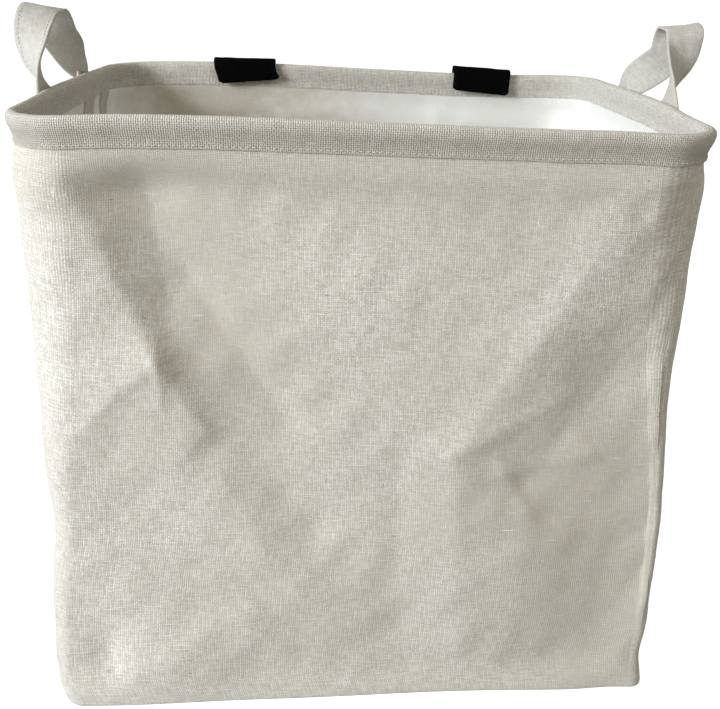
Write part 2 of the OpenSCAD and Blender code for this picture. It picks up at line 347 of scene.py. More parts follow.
def shell_surface(place, height, inset=0.0):
    """A point of the bin's wall: the outline at that height, moved along its normal by the folds less inset.
    Down the wall the corners tighten from the rim's to the base's radius, the sides pull in by a few
    millimetres at mid-height, and the foot of the front wanders a little. height and inset are in metres."""
    z = np.asarray(height, float)
    mm = z / MM
    waist = waist_share(mm)
    left = WALL_W - MM * (1.6 * waist + 3.4 * bell(mm, 128, 30) + 7.0 * bell(mm, -2, 14))
    right = 0.6 * waist + 5.2 * bell(mm, 215, 75) + 1.0 * bell(mm, 110, 40) + 2.4 * bell(mm, 22, 22)
    right = WALL_W - MM * right
    front = WALL_D - MM * (2.2 * waist)
    rear = WALL_D - MM * (3.0 * waist)
    x, y, nx, ny = outline(place, left, right, front, rear, corner_radii(z))
    tied = 1 - ease(mm, 338, 362)  # nothing moves where the hem holds the cloth
    footed = ease(mm, 2, 26)
    grounded = 1 - ease(mm, 10, 110)
    facing_front, facing_rear = np.clip(-ny, 0, 1) ** 1.5, np.clip(ny, 0, 1) ** 1.5
    facing_left, facing_right = np.clip(-nx, 0, 1) ** 1.5, np.clip(nx, 0, 1) ** 1.5
    folds = facing_front * front_folds(x / MM, mm)
    folds = folds + facing_rear * (plain_folds(-x / MM, mm, 5, 400) + rear_folds(x / MM, mm))
    folds = folds + facing_right * plain_folds(y / MM, mm, 11, 300)
    folds = folds + facing_left * plain_folds(-y / MM, mm, 23, 300)
    around = np.where(np.abs(nx) > np.abs(ny), y, x) / MM + 900 * np.round(np.arctan2(ny, nx) * 2 / np.pi)
    for amount, seed, size in ((0.55, 3, 95), (0.22, 8, 34), (0.07, 9, 13)):
        folds = folds + amount * ripple(around, mm, seed, size)
    move = MM * (folds - 3.0) * tied * footed
    wander = -3.2 * x / WALL_W - 0.5 + 0.9 * np.cos(x / MM / 34 + 1.2) + 3.8 * bell(x / MM, -148, 60)
    sway = MM * facing_front * grounded * (wander - 1.6 * bell(x / MM, 174, 20))
    near_left, near_right = np.clip(-nx - ny - 1, 0, 1) * 2.4, np.clip(nx - ny - 1, 0, 1) * 2.4
    neck = MM * (-1.9 * ease(mm, 350, 363) + 0.9 * bell(mm, 347, 10))
    neck = neck + MM * (1.2 * near_left * bell(mm, 340, 12) - 3.0 * near_right * bell(mm, 347, 13))
    out = move + sway + neck - inset
    lift = rim_lift(x, y) * ease(mm, 250, 362)
    drawn = draw_in(x, y, ease(z, 0.02, WALL_TOP) ** 2)
    return np.stack([x + nx * out + drawn, y + ny * out, z + lift], -1), np.stack([nx, ny], -1)


def rim_line(place, inset, height):
    """A point of the rim: the rim's outline, moved in by inset and raised by its lift."""
    x, y, nx, ny = outline(place, RIM_W, RIM_W, RIM_D, RIM_D, RIM_CORNERS)
    drawn = draw_in(x, y, 1.0)
    return np.stack([x - nx * inset + drawn, y - ny * inset, height + rim_lift(x, y)], -1), np.stack([nx, ny], -1)


def inward(line, normal, depth, height):
    """Points moved in from a line by depth along its outward normal, at the given heights."""
    x, y = (line[..., k] - normal[..., k] * depth for k in (0, 1))
    return np.stack([x, y, height + 0 * depth], -1)


# --- Shader groups --------------------------------------------------------------------------
def group(name, inputs, outputs):
    """An empty shader group with float or vector sockets; a default of None makes a vector."""
    tree = bpy.data.node_groups.new(name, "ShaderNodeTree")
    for label, default in inputs:
        kind = "NodeSocketVector" if default is None else "NodeSocketFloat"
        socket = tree.interface.new_socket(label, in_out="INPUT", socket_type=kind)
        if default is not None:
            socket.default_value = default
    for label in outputs:
        tree.interface.new_socket(label, in_out="OUTPUT", socket_type="NodeSocketFloat")
    return tree, tree.nodes.new("NodeGroupInput"), tree.nodes.new("NodeGroupOutput")


def feed(tree, socket, value):
    """Links a socket, or sets its value."""
    if isinstance(value, bpy.types.NodeSocket):
        tree.links.new(value, socket)
    elif value is not None:
        socket.default_value = value


def calc(tree, operation, a, b=None, clamp=False):
    """One math node."""
    made = tree.nodes.new("ShaderNodeMath")
    made.operation = operation
    made.use_clamp = clamp
    for socket, value in zip(made.inputs, (a, b)):
        feed(tree, socket, value)
    return made.outputs[0]


def times(tree, a, b, clamp=False):
    """a * b, kept from 0 to 1 if clamp is set."""
    return calc(tree, "MULTIPLY", a, b, clamp)


def plus(tree, a, b):
    """a + b."""
    return calc(tree, "ADD", a, b)


def minus(tree, a, b):
    """a - b."""
    return calc(tree, "SUBTRACT", a, b)


def ramp(tree, value, low, high, out_low=0.0, out_high=1.0):
    """A smooth step of a value."""
    step = tree.nodes.new("ShaderNodeMapRange")
    step.interpolation_type = "SMOOTHSTEP"
    for label, v in zip(("Value", "From Min", "From Max", "To Min", "To Max"), (value, low, high, out_low, out_high)):
        feed(tree, step.inputs[label], v)
    return step.outputs["Result"]


def node(tree, kind, **inputs):
    """A new shader node of that kind with the named inputs fed."""
    made = tree.nodes.new(f"ShaderNode{kind}")
    for label, value in inputs.items():
        feed(tree, made.inputs[label], value)
    return made


def noise(tree, place, scale, detail=2.0, rough=0.5):
    """Fractal noise."""
    return node(tree, "TexNoise", Vector=place, Scale=scale, Detail=detail, Roughness=rough).outputs["Fac"]


def vector(tree, operation, a, b):
    """One vector math node."""
    made = node(tree, "VectorMath")
    made.operation = operation
    feed(tree, made.inputs[0], a)
    feed(tree, made.inputs[1], b)
    return made.outputs[0]


def stretch(tree, place, x, y, z=1.0):
    """A vector with each part multiplied."""
    return vector(tree, "MULTIPLY", place, (x, y, z))


def build_weave():
    """Plain weave. With s = sin(pi x / pitch) and t = sin(pi y / pitch), the warp stands |s|/2 + st/2 high and the
    weft |t|/2 - st/2, and the higher one shows. Threads swell and thin along their length, and a few short
    dark flecks and pale slubs follow them."""
    tree, start, end = group("Weave", [("Place", None), ("Pitch", 0.0013), ("Wander", 0.0005)],
                             ["Height", "Thread", "Fleck", "Slub"])
    place = start.outputs["Place"]
    drift = node(tree, "TexNoise", Vector=place, Scale=140.0, Detail=3.0)
    centred = vector(tree, "SUBTRACT", drift.outputs["Color"], (0.5, 0.5, 0.5))
    sized = node(tree, "VectorMath")
    sized.operation = "SCALE"
    feed(tree, sized.inputs[0], centred)
    feed(tree, sized.inputs["Scale"], start.outputs["Wander"])
    parts = node(tree, "SeparateXYZ", Vector=vector(tree, "ADD", place, sized.outputs[0]))
    turns = calc(tree, "DIVIDE", math.pi, start.outputs["Pitch"])
    s = calc(tree, "SINE", times(tree, parts.outputs[0], turns))
    t = calc(tree, "SINE", times(tree, parts.outputs[1], turns))
    st = times(tree, s, t)
    warp = plus(tree, calc(tree, "ABSOLUTE", s), st)
    weft = minus(tree, calc(tree, "ABSOLUTE", t), st)
    swell_warp = noise(tree, stretch(tree, place, 720, 115), 1.0, 2.0)
    swell_weft = noise(tree, stretch(tree, place, 115, 720), 1.0, 2.0)
    high_warp = times(tree, warp, plus(tree, swell_warp, 0.35))
    high_weft = times(tree, weft, plus(tree, swell_weft, 0.35))
    feed(tree, end.inputs["Height"], times(tree, calc(tree, "MAXIMUM", high_warp, high_weft), 0.5))
    on_top = ramp(tree, minus(tree, high_warp, high_weft), -0.15, 0.15)
    mixed = plus(tree, times(tree, swell_warp, on_top),
                 times(tree, swell_weft, minus(tree, 1.0, on_top)))
    feed(tree, end.inputs["Thread"], ramp(tree, mixed, 0.3, 0.7))
    dark = calc(tree, "MAXIMUM", ramp(tree, noise(tree, stretch(tree, place, 900, 190), 1.0, 1.0), 0.70, 0.80),
                ramp(tree, noise(tree, stretch(tree, place, 170, 950), 1.0, 1.0), 0.69, 0.79))
    feed(tree, end.inputs["Fleck"], dark)
    pale = calc(tree, "MAXIMUM", ramp(tree, noise(tree, stretch(tree, place, 620, 70), 1.3, 1.0), 0.68, 0.80),
                ramp(tree, noise(tree, stretch(tree, place, 62, 640), 1.2, 1.0), 0.67, 0.80))
    feed(tree, end.inputs["Slub"], pale)
    return tree


def build_patches():
    """Slow change of colour over a piece: two sizes of fractal noise added, from 0 to 1."""
    tree, start, end = group("Patches", [("Place", None), ("Scale", 9.0)], ["Fac"])
    slow = noise(tree, start.outputs["Place"], start.outputs["Scale"], 3.0, 0.55)
    fast = noise(tree, start.outputs["Place"], times(tree, start.outputs["Scale"], 6.0), 3.0, 0.6)
    both = plus(tree, times(tree, slow, 0.65), times(tree, fast, 0.35))
    feed(tree, end.inputs["Fac"], ramp(tree, both, 0.34, 0.66))
    return tree


def build_wear():
    """Handled edges: the piece's own "wear" attribute, broken up by noise, from 0 to 1."""
    tree, start, end = group("Edge wear", [("Place", None), ("Amount", 1.0)], ["Fac"])
    edge = node(tree, "Attribute")
    edge.attribute_name = "wear"
    grain = ramp(tree, noise(tree, start.outputs["Place"], 420.0, 4.0, 0.65), 0.35, 0.65)
    both = times(tree, edge.outputs["Fac"], grain)
    feed(tree, end.inputs["Fac"], times(tree, both, start.outputs["Amount"], clamp=True))
    return tree


WEAVE, PATCHES, WEAR = build_weave(), build_patches(), build_wear()


def place_group(tree, made, **values):
    """A group node with its inputs fed."""
    placed = node(tree, "Group")
    placed.node_tree = made
    for label, value in values.items():
        feed(tree, placed.inputs[label], value)
    return placed


def tint(tree, base, fac, colour):
    """base turned towards colour by fac."""
    mix = node(tree, "Mix")
    mix.data_type = "RGBA"
    for k, value in ((0, fac), (6, base), (7, colour)):
        feed(tree, mix.inputs[k], value)
    return mix.outputs[2]


def shader(name, roughness, sheen=0.0, metallic=0.0, specular=0.3):
    """A material with its Principled shader's plain values set."""
    material = bpy.data.materials.new(name)
    material.use_nodes = True
    tree = material.node_tree
    principled = next(n for n in tree.nodes if n.type == "BSDF_PRINCIPLED")
    plain = {"Roughness": roughness, "Sheen Weight": sheen, "Sheen Roughness": 0.55, "Metallic": metallic,
             "Specular IOR Level": specular}
    for label, value in plain.items():
        principled.inputs[label].default_value = value
    return material, tree, principled


def finish(tree, principled, colour, roughness, height, distance):
    """Colour, roughness and, through a Bump node, height into a Principled shader."""
    feed(tree, principled.inputs["Base Color"], colour)
    feed(tree, principled.inputs["Roughness"], roughness)
    raised = node(tree, "Bump", Height=height, Distance=distance)
    feed(tree, principled.inputs["Normal"], raised.outputs["Normal"])


def grey(value, warm=0.0):
    """A near-grey colour, warmer by warm."""
    return (value, value - warm * 0.4, value - warm, 1.0)


def cloth_place(tree):
    """The piece's own UV map, in metres of cloth."""
    own = node(tree, "UVMap")
    own.uv_map = "Cloth"
    return own.outputs[0]


def object_place(tree):
    """Object coordinates."""
    return node(tree, "TexCoord").outputs["Object"]


def deepen(tree, colour, amount, towards):
    """A colour turned towards a deeper one by the piece's own attribute, which holds random colour depth with painted
    shade and painted light.
    """
    tone = node(tree, "Attribute")
    tone.attribute_name = "tone"
    return tint(tree, colour, times(tree, tone.outputs["Fac"], amount, clamp=True), towards)


def linen(name, pitch, base, thread, fleck, slub, height, wear=0.0, sheen=0.25, patch=0.5, tone=0.0, deep=0.70):
    """Undyed linen: base colour varied by thread and patch, dark flecks, pale slubs, worn edges, painted shade in the
    gaps between threads and, where the piece has them, places deepened by random colour depth and painted shade."""
    material, tree, principled = shader(name, 0.9, sheen)
    where = cloth_place(tree)
    weave = place_group(tree, WEAVE, Place=where, Pitch=pitch, Wander=0.0011)
    patches = place_group(tree, PATCHES, Place=object_place(tree))
    colour = tint(tree, base, times(tree, patches.outputs[0], patch), grey(base[0] * 0.93, 0.045))
    # Random colour depth with painted shade, from the piece's attribute: the colour is deepened and warmed.
    if tone:
        colour = deepen(tree, colour, tone, (base[0] * deep, base[1] * deep * 0.98, base[2] * deep * 0.915, 1))
    shade = times(tree, minus(tree, 1.0, weave.outputs["Thread"]), thread)
    colour = tint(tree, colour, shade, (base[0] * 0.62, base[1] * 0.57, base[2] * 0.50, 1))
    # Painted shade in the gaps between threads: the low parts of the weave are darkened.
    painted_gap_shade = times(tree, ramp(tree, weave.outputs["Height"], 0.45, 0.1), thread * 0.9)
    colour = tint(tree, colour, painted_gap_shade, (base[0] * 0.5, base[1] * 0.46, base[2] * 0.4, 1))
    colour = tint(tree, colour, times(tree, weave.outputs["Slub"], slub), (0.93, 0.925, 0.90, 1))
    colour = tint(tree, colour, times(tree, weave.outputs["Fleck"], fleck), (0.27, 0.20, 0.13, 1))
    if wear:
        worn = place_group(tree, WEAR, Place=object_place(tree), Amount=wear)
        colour = tint(tree, colour, worn.outputs[0], (0.60, 0.555, 0.48, 1))
    lift = plus(tree, weave.outputs["Height"], times(tree, weave.outputs["Slub"], 0.55))
    finish(tree, principled, colour, ramp(tree, weave.outputs["Thread"], 0.0, 1.0, 0.84, 0.96), lift, height)
    return material


LINEN = linen("Slubby linen", 0.00125, (0.83, 0.82, 0.775, 1), 0.95, 0.6, 0.5, 0.00026, wear=0.5, tone=1.0)
# The hem's own copy of the linen deepens further, to 0.52, for the painted shade below its roll.
HEM_LINEN = linen("Slubby linen of the hem", 0.00118, (0.89, 0.88, 0.83, 1), 0.95, 0.6, 0.6, 0.0007, wear=0.4,
                  tone=1.0, deep=0.52)
STRAP = linen("Doubled linen strap", 0.0008, (0.63, 0.62, 0.58, 1), 0.55, 0.3, 0.25, 0.0002, wear=0.5, sheen=0.2)
SEAM_LINEN = linen("Linen binding strip", 0.0009, (0.66, 0.625, 0.55, 1), 0.35, 0.5, 0.4, 0.0004)


def coated():
    """The wall's inner face: smooth pale coating, through which the weave shows faintly."""
    material, tree, principled = shader("Coated back of the cloth", 0.6, 0.1, specular=0.4)
    weave = place_group(tree, WEAVE, Place=cloth_place(tree), Pitch=0.00115)
    patches = place_group(tree, PATCHES, Place=object_place(tree), Scale=14.0)
    blotch = times(tree, patches.outputs[0], 0.5)
    colour = tint(tree, (0.88, 0.885, 0.865, 1), blotch, (0.80, 0.79, 0.75, 1))
    # Painted shade on the inner face from the piece's attribute, varied by the patches.
    colour = deepen(tree, colour, plus(tree, patches.outputs[0], 0.5), (0.60, 0.555, 0.465, 1))
    colour = tint(tree, colour, times(tree, weave.outputs["Thread"], 0.25), (0.82, 0.82, 0.80, 1))
    colour = tint(tree, colour, times(tree, weave.outputs["Fleck"], 0.2), (0.45, 0.40, 0.32, 1))
    dull = ramp(tree, patches.outputs[0], 0.0, 1.0, 0.5, 0.68)
    finish(tree, principled, colour, dull, weave.outputs["Height"], 0.00012)
    return material


def black_cloth(name, pitch, pile, rough):
    """Matt black tape: ribs across, lint that catches light, and fuzz of the given depth."""
    material, tree, principled = shader(name, rough, specular=0.02)
    where = cloth_place(tree)
    weave = place_group(tree, WEAVE, Place=where, Pitch=pitch)
    lint = ramp(tree, noise(tree, stretch(tree, where, 900, 2600), 1.0, 3.0), 0.62, 0.8)
    fuzz = noise(tree, where, 2600.0, 3.0, 0.7)
    colour = tint(tree, (0.001, 0.001, 0.0012, 1), weave.outputs["Thread"], (0.003, 0.003, 0.0033, 1))
    colour = tint(tree, colour, times(tree, lint, 0.12), (0.03, 0.03, 0.032, 1))
    worn = place_group(tree, WEAR, Place=object_place(tree), Amount=0.35)
    colour = tint(tree, colour, worn.outputs[0], (0.014, 0.014, 0.015, 1))
    dull = ramp(tree, fuzz, 0.3, 0.7, rough - 0.1, rough + 0.08)
    finish(tree, principled, colour, dull, plus(tree, weave.outputs["Height"], fuzz), pile)
    return material


def spun_thread():
    """Sewing thread: two plies twisted round each other, sin(2 pi (along + around))."""
    material, tree, principled = shader("Sewing thread", 0.7, 0.3)
    parts = node(tree, "SeparateXYZ", Vector=cloth_place(tree))
    ply = calc(tree, "SINE", plus(tree, times(tree, parts.outputs[0], 7000.0),
                                  times(tree, parts.outputs[1], 4000.0)))
    tone = ramp(tree, ply, -1.0, 1.0)
    patches = place_group(tree, PATCHES, Place=object_place(tree), Scale=60.0)
    # The ply colour paints shade into the grooves: darker where the plies dip, lighter on their crowns.
    colour = tint(tree, (0.50, 0.48, 0.43, 1), tone, (0.66, 0.64, 0.59, 1))
    colour = tint(tree, colour, times(tree, patches.outputs[0], 0.3), (0.48, 0.45, 0.39, 1))
    finish(tree, principled, colour, ramp(tree, tone, 0.0, 1.0, 0.62, 0.8), tone, 0.00006)
    return material


def drawn_steel():
    """Drawn wire: fine lines along the wire and a few dull spots."""
    material, tree, principled = shader("Drawn steel wire", 0.35, metallic=1.0, specular=0.5)
    where = object_place(tree)
    lines = noise(tree, stretch(tree, where, 40, 40, 3000), 1.0, 3.0)
    patches = place_group(tree, PATCHES, Place=where, Scale=30.0)
    colour = tint(tree, (0.55, 0.55, 0.56, 1), patches.outputs[0], (0.66, 0.66, 0.67, 1))
    finish(tree, principled, colour, ramp(tree, lines, 0.3, 0.7, 0.25, 0.45), lines, 0.00005)
    return material


def fibreboard():
    """Grey-brown board: pressed fibres in every direction."""
    material, tree, principled = shader("Grey-brown fibreboard", 0.85)
    where = object_place(tree)
    fibres = noise(tree, stretch(tree, where, 1, 3, 1), 260.0, 6.0, 0.7)
    patches = place_group(tree, PATCHES, Place=where, Scale=12.0)
    colour = tint(tree, (0.40, 0.335, 0.25, 1), ramp(tree, fibres, 0.35, 0.7), (0.55, 0.48, 0.38, 1))
    colour = tint(tree, colour, times(tree, patches.outputs[0], 0.4), (0.36, 0.31, 0.24, 1))
    finish(tree, principled, colour, ramp(tree, fibres, 0.3, 0.7, 0.78, 0.92), fibres, 0.0002)
    return material


COATED = coated()
THREAD = spun_thread()
STEEL = drawn_steel()
BOARD = fibreboard()
BLACK_TAPE = black_cloth("Matt black tape", 0.0007, 0.00015, 0.85)
BLACK_HOOKS = black_cloth("Black hook pile", 0.0016, 0.0005, 0.9)


def mark(piece, name, values):
    """An attribute of one value a point, kept from 0 to 1: "wear" is 1 where an edge is handled most; the other one
    holds random colour depth with painted shade and painted light, 0 for the cloth's plain colour and 1 for its
    deepest."""
    layer = piece.data.attributes.new(name, "FLOAT", "POINT")
    layer.data.foreach_set("value", np.clip(values, 0, 1).astype(np.float32).ravel())


# --- The wall -------------------------------------------------------------------------------
def patch(a, h, x, z, wide, high, lean=0.0):
    """A soft patch, exp(-u^2 - v^2), with u along and v across an ellipse that leans by that many radians."""
    u = ((a - x) * math.cos(lean) + (h - z) * math.sin(lean)) / wide
    v = ((h - z) * math.cos(lean) - (a - x) * math.sin(lean)) / high
    return np.exp(-(u**2) - v**2)


def wall_colour_and_painted_shade(x, y, z):
    """How deep the cloth's colour is, from 0 to 1: a baseline with a random ripple, then painted shade on the front,
    darker towards the rim and in soft patches beside the folds, with painted light in a few lighter patches, and
    painted shade on the upper left of the rear's inside. All in mm."""
    front, rear = ease(-y, 118, 140), ease(y, 118, 140)
    tone = 0.14 + 0.10 * ripple(x + y, z, 77, 120)
    # Painted shade and painted light on the front: darker towards the rim and beside the folds, lighter where patches
    # are taken away.
    painted_front_shade_and_light = 0.16 + 0.46 * ease(z, 290, 356) + 0.66 * patch(x, z, -100, 306, 32, 56, 0.25)
    painted_front_shade_and_light = painted_front_shade_and_light + 0.42 * patch(x, z, -72, 258, 36, 44) + 0.14 * patch(x, z, 40, 250, 60, 26)
    painted_front_shade_and_light = painted_front_shade_and_light + 0.95 * patch(x, z, 152, 112, 50, 110, 0.1) + 0.28 * patch(x, z, 70, 150, 44, 40)
    painted_front_shade_and_light = painted_front_shade_and_light + 0.30 * patch(x, z, -66, 150, 36, 34) + 0.16 * patch(x, z, -20, 60, 90, 40)
    painted_front_shade_and_light = painted_front_shade_and_light - 0.30 * patch(x, z, 0, 262, 40, 40) - 0.34 * patch(x, z, -172, 180, 26, 120)
    painted_front_shade_and_light = painted_front_shade_and_light - 0.60 * patch(x, z, 126, 300, 24, 60, -0.5) - 0.40 * patch(x, z, -150, 50, 34, 46)
    painted_front_shade_and_light = painted_front_shade_and_light + 0.22 * patch(x, z, 176, 270, 20, 70) + 0.34 * patch(x, z, 172, 70, 36, 60)
    # Painted shade on the upper left of the rear wall, seen mostly on its inside.
    inside = 0.85 * ease(-x, -90, 120) * ease(z, 230, 300)
    return tone + front * painted_front_shade_and_light + rear * inside


def wall_heights():
    """Heights of the wall's rows: a quarter circle of 2.2 mm at the foot, then even steps to the top."""
    return np.concatenate([[0.0, 0.00055, 0.0014, 0.0026], np.linspace(0.0058, WALL_TOP, 106)])


def build_wall():
    """The wall: the shell's surface on a grid of places and heights, its foot rounded over 2.2 mm."""
    place = places(50, 26, 200, 26, 50, 14, 70, 14)[None, :]
    height = wall_heights()[:, None]
    points, _ = shell_surface(place, height, quarter(height, 2.2 * MM))
    u = lengths(points, 1, True)
    v = closed(lengths(points, 0, False))
    faces, uv = grid(points, np.broadcast_to(u[60], u.shape), v, ring=True)
    piece = make("wall_fabric", points, faces, uv, [LINEN, COATED], "shell")
    smooth = np.abs(points - (np.roll(points, 3, 1) + np.roll(points, -3, 1)) / 2).sum(-1)
    mark(piece, "wear", 0.5 * ease(smooth / MM, 0.9, 2.4) + 0.9 * bell(height / MM, 0, 5))
    # The wall's random colour depth, with its painted shade and painted light, as one attribute.
    mark(piece, "tone", wall_colour_and_painted_shade(*np.moveaxis(points / MM, -1, 0)))
    solid = piece.modifiers.new("Cloth thickness", "SOLIDIFY")
    solid.thickness = WALL_T
    solid.offset = -1
    solid.material_offset = 1
    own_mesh(piece)
    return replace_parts(piece, "wall_panel")


# --- The hem --------------------------------------------------------------------------------
def thickened(path, thick, tips=4):
    """A closed outline round a 2-D path: the path moved to both sides by half of thick, with half-round ends."""
    tangent = unit(np.gradient(path, axis=0))
    normal = np.stack([-tangent[:, 1], tangent[:, 0]], -1)
    turn = np.linspace(0, np.pi, tips + 2)[1:-1, None]
    half = thick / 2
    end = path[-1] + half * (np.cos(turn) * normal[-1] + np.sin(turn) * tangent[-1])
    start = path[0] + half * (-np.cos(turn) * normal[0] - np.sin(turn) * tangent[0])
    return np.vstack([path + half * normal, end, (path - half * normal)[::-1], start])


HEM_T = 1.1 * MM
STITCH_Z = HEM_FOOT + 4.6 * MM
ROLL_R = 3.6 * MM  # the outer radius of the hem's roll round the wire
HEM_PLACES = places(90, 40, 240, 40, 90, 30, 130, 30)
HEM_STITCH = {"pitch": 3.4 * MM, "share": 0.74, "radius": 0.24 * MM, "sink": 0.16 * MM}
STRAP_STITCH = {"pitch": 3.1 * MM, "share": 0.74, "radius": 0.28 * MM, "sink": 0.2 * MM}


def hem_legs():
    """The folded strip's two legs as (inset, height), each from the roll down. The outer one runs in to the
    stitch line on an S-curve, so the roll stands proud; the inner one runs down past the stitch line."""
    top = RIM_TOP - ROLL_R
    down = np.linspace(0, 1, 10)
    hollow = 3.0 * MM * ease(down, 0.0, 0.82) - 0.25 * MM * ease(down, 0.86, 1.0)
    outer = np.stack([HEM_T / 2 + hollow, top + (HEM_FOOT + 3.4 * MM - top) * down], -1)
    inner_in = 7.2 * MM - HEM_T / 2 - 1.75 * MM * ease(down, 0, 0.75) - 0.35 * MM * bell(down, 0.70, 0.12)
    inner = np.stack([inner_in, top + (HEM_FOOT + 1.6 * MM - top) * down], -1)
    return outer, inner


def hem_path():
    """The folded strip's middle line: up the outside, round the wire in a half circle, down the inside."""
    outer, inner = hem_legs()
    turn = np.linspace(0, np.pi, 13)[1:-1, None]
    top = np.array([ROLL_R, RIM_TOP - ROLL_R])
    roll = top + (ROLL_R - HEM_T / 2) * np.hstack([-np.cos(turn), np.sin(turn)])
    return np.vstack([outer[::-1], roll, inner])


def build_hem():
    """The hem: the folded strip's outline carried round the rim, puckered by a few tenths of a millimetre."""
    profile = thickened(hem_path(), HEM_T)
    line, normal = rim_line(HEM_PLACES, 0.0, 0.0)
    run = lengths(line[None], 1, True)[0]
    inset, height = profile[:, :1], profile[:, 1:]
    around = run[None, :-1] / MM
    low = 1 - ease(height, HEM_FOOT, RIM_TOP - 4 * MM)
    pucker = MM * (0.12 * ripple(around, height / MM, 31, 17) + 0.07 * ripple(around, 3 * height / MM, 32, 6.5))
    outside = np.where(inset < ROLL_R, -1.0, 1.0)
    wander = MM * 0.14 * ripple(around, 0 * around, 33, 60) * low
    depth = inset + outside * pucker * (1 - 0.4 * low)
    points = inward(line, normal, depth, height + wander + line[:, 2])
    round_profile = lengths(profile[:, None], 0, True)[:, 0]
    u = np.broadcast_to(run[None, :], (len(profile) + 1, len(run)))
    v = np.broadcast_to(round_profile[:, None], u.shape)
    faces, uv = grid(points, u, v, ring=True, loop=True, flip=True)
    piece = make("hem_fabric", points, faces, uv, [HEM_LINEN], "rim")
    wear = 0.55 * ease(height, RIM_TOP - 2.2 * MM, RIM_TOP) + 0.5 * bell(height / MM, HEM_FOOT / MM, 0.9)
    mark(piece, "wear", wear + 0 * depth)
    # Painted shade on the hem's outer face: darker going down from the roll's top, in two steps.
    outer = np.where(inset < 4.4 * MM, 0.45, 0.0)
    drop = (RIM_TOP - height) / MM
    mark(piece, "tone", 0.10 + outer * (ease(drop, 0.6, 2.4) + ease(drop, 4, 8.5)) + 0 * depth)
    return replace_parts(piece, "rim_hem")


def stitch_row(path, normals, pitch, share, radius, sink, ring=False):
    """A row of stitches along a path. Each one covers share of the pitch and arches sin(pi t) above the cloth, and
    its two ends dip in. It is a tube of five rings of six points. Returns points, faces and UVs."""
    step = np.linalg.norm(np.diff(path, axis=0, append=path[:1] if ring else path[-1:]), axis=1)
    run = np.concatenate([[0], np.cumsum(step)])
    track = np.vstack([path, path[:1] if ring else path[-1:]])
    facing = np.vstack([normals, normals[:1] if ring else normals[-1:]])
    count = int(run[-1] // pitch)
    pitch = run[-1] / count
    t = np.linspace(0, 1, 5)
    s = (np.arange(count)[:, None] + (1 - share) / 2 + share * t[None, :]) * pitch
    at = np.stack([np.interp(s, run, track[:, k]) for k in range(3)], -1)
    out = unit(np.stack([np.interp(s, run, facing[:, k]) for k in range(3)], -1))
    along = unit(at[:, -1:] - at[:, :1])
    side = unit(np.cross(along, out))
    lift = radius * 1.15 * np.sin(np.pi * t) - sink * (1 - np.sin(np.pi * t))
    thick = radius * np.array([0.45, 0.95, 1.0, 0.95, 0.45])
    turn = np.arange(6) * np.pi / 3
    circle = out[:, :, None] * np.cos(turn)[:, None] + side[:, :, None] * np.sin(turn)[:, None]
    points = (at + out * lift[None, :, None])[:, :, None] + circle * thick[None, :, None, None]
    i, j = np.meshgrid(np.arange(4), np.arange(6), indexing="ij")
    one = np.stack([i * 6 + j, i * 6 + (j + 1) % 6, (i + 1) * 6 + (j + 1) % 6, (i + 1) * 6 + j], -1).reshape(-1, 4)
    quads = (one[None] + 30 * np.arange(count)[:, None, None]).reshape(-1, 4).tolist()
    first, last = np.arange(6)[::-1], 24 + np.arange(6)
    ends = np.concatenate([first[None], last[None]])[None] + 30 * np.arange(count)[:, None, None]
    faces = quads + ends.reshape(-1, 6).tolist()
    flat = np.concatenate([np.array(quads).ravel(), ends.ravel()])
    u = (s[:, :, None] + 0 * turn).ravel()[flat]
    v = np.broadcast_to(turn * radius, (count, 5, 6)).ravel()[flat]
    return points.reshape(-1, 3), faces, np.stack([u, v], -1)


def sew(name, rows, body, slot, *nodes):
    """One piece of sewing thread made of several rows of stitches."""
    starts = np.cumsum([0] + [len(points) for points, _, _ in rows])
    faces = [[start + k for k in face] for start, (_, row, _) in zip(starts.tolist(), rows) for face in row]
    points, uv = (np.vstack([row[k] for row in rows]) for k in (0, 2))
    piece = make(name, points, faces, uv, [THREAD], body)
    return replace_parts(piece, *nodes) if nodes else piece


def hem_stitches(inner):
    """The hem's stitch line on the outer or the inner leg, which wavers by a few tenths of a millimetre."""
    line, normal = rim_line(HEM_PLACES, 0.0, 0.0)
    around = lengths(line[None], 1, True)[0, :-1] / MM
    leg = hem_legs()[1 if inner else 0][::-1]
    waver = MM * (0.14 * ripple(around, 0 * around, 33, 60) + 0.12 * ripple(around, 0 * around, 41, 24))
    middle = np.interp(STITCH_Z + waver, leg[:, 1], leg[:, 0])
    pucker = 0.6 * MM * 0.12 * ripple(around, STITCH_Z / MM, 31, 17)
    inset = middle + (HEM_T / 2 + pucker if inner else -HEM_T / 2 - pucker)
    path = inward(line, normal, inset, STITCH_Z + waver + line[:, 2])
    facing = np.stack([normal[:, 0], normal[:, 1], 0 * around], -1) * (-1 if inner else 1)
    return stitch_row(path, facing, ring=True, **HEM_STITCH)


def ring_tube(path, frame_out, radius, sides=10):
    """A round tube along a closed level path: circles of that radius in the plane of the outward normal and z."""
    turn = np.arange(sides) * 2 * np.pi / sides
    up = np.array([0, 0, 1.0])
    return path[:, None] + radius * (frame_out[:, None] * np.cos(turn)[:, None] + up * np.sin(turn)[:, None])


